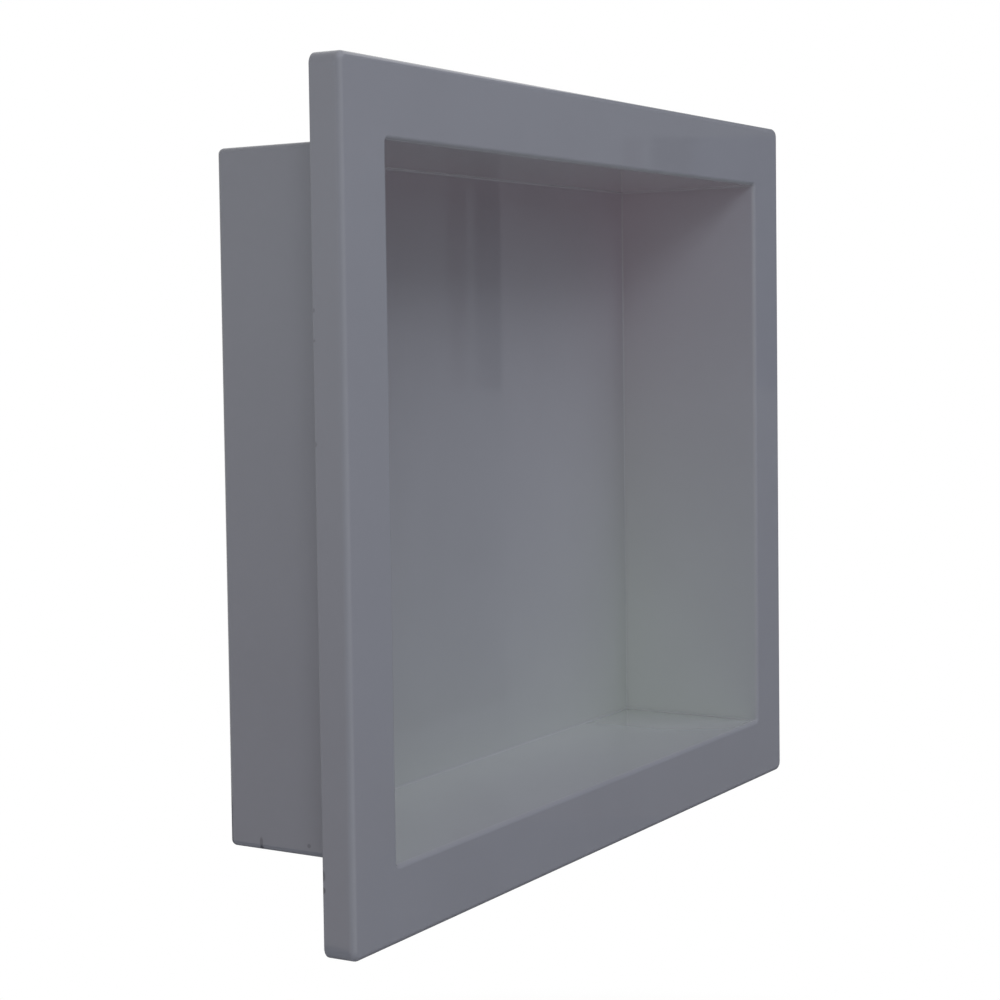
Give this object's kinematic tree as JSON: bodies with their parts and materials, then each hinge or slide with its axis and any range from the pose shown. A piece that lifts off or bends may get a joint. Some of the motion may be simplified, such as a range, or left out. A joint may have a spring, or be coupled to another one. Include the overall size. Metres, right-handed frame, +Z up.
{
  "type": "shower niche insert",
  "caption": "Recessed wall shelf for a shower: a shallow open box with a raised frame round its mouth, moulded as a thin shell and set into a cut-out in the wall to hold bottles and soap.",
  "frame": {"origin": "centre of the wall cut-out, in the plane of the finished wall where the frame's rear rim bears", "axes": "+X to the right for someone facing the niche, +Y into the wall, +Z up"},
  "size_m": [0.406, 0.0795, 0.3376],
  "materials": {
    "moulding": "satin gloss, mid grey with a slight blue cast"
  },
  "bodies": {
    "root": {"niche_insert": "moulding"}
  },
  "joints": []
}
